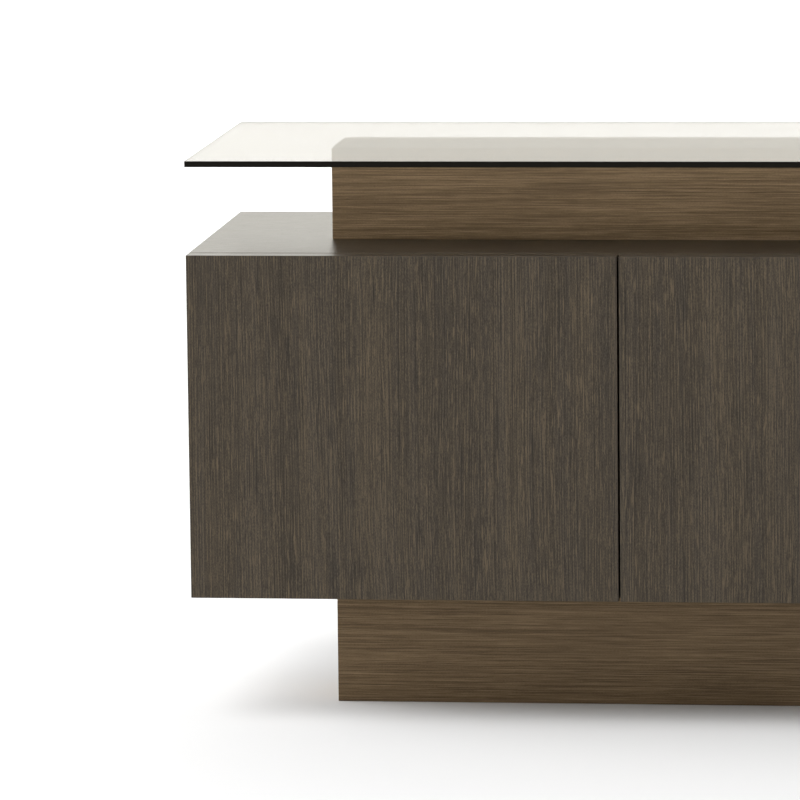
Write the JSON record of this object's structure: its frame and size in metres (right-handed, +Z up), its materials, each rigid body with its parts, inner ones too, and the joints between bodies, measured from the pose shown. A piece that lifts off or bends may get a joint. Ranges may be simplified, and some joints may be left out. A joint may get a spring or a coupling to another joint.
{
  "type": "office credenza",
  "caption": "Long low office credenza: clear glass top on a recessed bronze riser, dark veneered cabinet with flat push-to-open doors and shelves inside, on a recessed bronze plinth.",
  "frame": {"origin": "on the floor, under the middle of the object's bounding box", "axes": "+X along the length, to the right of someone facing the doors; the doors face -Y; +Z up"},
  "size_m": [2.2, 0.508, 0.728],
  "materials": {
    "veneer": "dark grey-brown veneer, vertical grain, satin lacquer",
    "lining": "matching veneer inside, matt lacquer",
    "timber": "bare softwood, planed",
    "bronze": "board faced with thin bronze metal, brushed along its length",
    "glass": "clear float glass, polished edges",
    "steel": "bright nickel plate",
    "plastic": "fine moulded texture"
  },
  "bodies": {
    "carcass": {"glass_top": "glass", "riser_front": "bronze", "riser_back": "bronze", "riser_left_end": "bronze", "riser_right_end": "bronze", "riser_cap": "bronze", "riser_centre_block": "timber", "plinth_front": "bronze", "plinth_back": "bronze", "plinth_left_end": "bronze", "plinth_right_end": "bronze", "plinth_bearer_left": "timber", "plinth_bearer_centre": "timber", "plinth_bearer_right": "timber", "top_panel": "veneer", "bottom_panel": "veneer", "left_side": "veneer", "right_side": "veneer", "centre_partition": "lining", "back_panel": "veneer", "shelf_left": "lining", "shelf_right": "lining", "shelf_support_left_1": "steel", "shelf_support_left_2": "steel", "shelf_support_left_3": "steel", "shelf_support_left_4": "steel", "shelf_support_right_1": "steel", "shelf_support_right_2": "steel", "shelf_support_right_3": "steel", "shelf_support_right_4": "steel", "latch_housing_left": "plastic", "latch_housing_right": "plastic", "hinge_arm_1_lower": "steel", "hinge_arm_1_upper": "steel", "hinge_arm_2_lower": "steel", "hinge_arm_2_upper": "steel", "hinge_arm_3_lower": "steel", "hinge_arm_3_upper": "steel", "hinge_arm_4_lower": "steel", "hinge_arm_4_upper": "steel"},
    "door_1": {"door_1": "veneer", "hinge_cup_1_lower": "steel", "hinge_cup_1_upper": "steel"},
    "door_2": {"door_2": "veneer", "hinge_cup_2_lower": "steel", "hinge_cup_2_upper": "steel"},
    "door_3": {"door_3": "veneer", "hinge_cup_3_lower": "steel", "hinge_cup_3_upper": "steel"},
    "door_4": {"door_4": "veneer", "hinge_cup_4_lower": "steel", "hinge_cup_4_upper": "steel"},
    "latch_plunger_1": {"latch_plunger_1": "plastic"},
    "latch_plunger_2": {"latch_plunger_2": "plastic"},
    "latch_plunger_3": {"latch_plunger_3": "plastic"},
    "latch_plunger_4": {"latch_plunger_4": "plastic"},
    "levelling_foot_1": {"levelling_foot_1": "steel"},
    "levelling_foot_2": {"levelling_foot_2": "steel"},
    "levelling_foot_3": {"levelling_foot_3": "steel"},
    "levelling_foot_4": {"levelling_foot_4": "steel"}
  },
  "joints": [
    {"name": "door_1_hinge", "type": "hinge", "parent": "carcass", "child": "door_1", "pos_m": [-1.092, -0.2475, 0.38775], "axis": [0, 0, -1], "range_deg": [0, 90]},
    {"name": "door_2_hinge", "type": "hinge", "parent": "carcass", "child": "door_2", "pos_m": [-0.0105, -0.2475, 0.38775], "axis": [0, 0, 1], "range_deg": [0, 90]},
    {"name": "door_3_hinge", "type": "hinge", "parent": "carcass", "child": "door_3", "pos_m": [0.0105, -0.2475, 0.38775], "axis": [0, 0, -1], "range_deg": [0, 90]},
    {"name": "door_4_hinge", "type": "hinge", "parent": "carcass", "child": "door_4", "pos_m": [1.092, -0.2475, 0.38775], "axis": [0, 0, 1], "range_deg": [0, 90]},
    {"name": "latch_1_slide", "type": "slide", "parent": "carcass", "child": "latch_plunger_1", "axis": [0, -1, 0], "range_m": [0, 0.0201]},
    {"name": "latch_2_slide", "type": "slide", "parent": "carcass", "child": "latch_plunger_2", "axis": [0, -1, 0], "range_m": [0, 0.0201]},
    {"name": "latch_3_slide", "type": "slide", "parent": "carcass", "child": "latch_plunger_3", "axis": [0, -1, 0], "range_m": [0, 0.0201]},
    {"name": "latch_4_slide", "type": "slide", "parent": "carcass", "child": "latch_plunger_4", "axis": [0, -1, 0], "range_m": [0, 0.0201]},
    {"name": "levelling_foot_1_screw", "type": "slide", "parent": "carcass", "child": "levelling_foot_1", "axis": [0, 0, 1], "range_m": [-0.012, 0]},
    {"name": "levelling_foot_2_screw", "type": "slide", "parent": "carcass", "child": "levelling_foot_2", "axis": [0, 0, 1], "range_m": [-0.012, 0]},
    {"name": "levelling_foot_3_screw", "type": "slide", "parent": "carcass", "child": "levelling_foot_3", "axis": [0, 0, 1], "range_m": [-0.012, 0]},
    {"name": "levelling_foot_4_screw", "type": "slide", "parent": "carcass", "child": "levelling_foot_4", "axis": [0, 0, 1], "range_m": [-0.012, 0]}
  ],
  "couplings": [
    {"joint": "latch_1_slide", "follows": "door_1_hinge", "m_per_rad": 0.012732},
    {"joint": "latch_2_slide", "follows": "door_2_hinge", "m_per_rad": 0.012732},
    {"joint": "latch_3_slide", "follows": "door_3_hinge", "m_per_rad": 0.012732},
    {"joint": "latch_4_slide", "follows": "door_4_hinge", "m_per_rad": 0.012732}
  ]
}
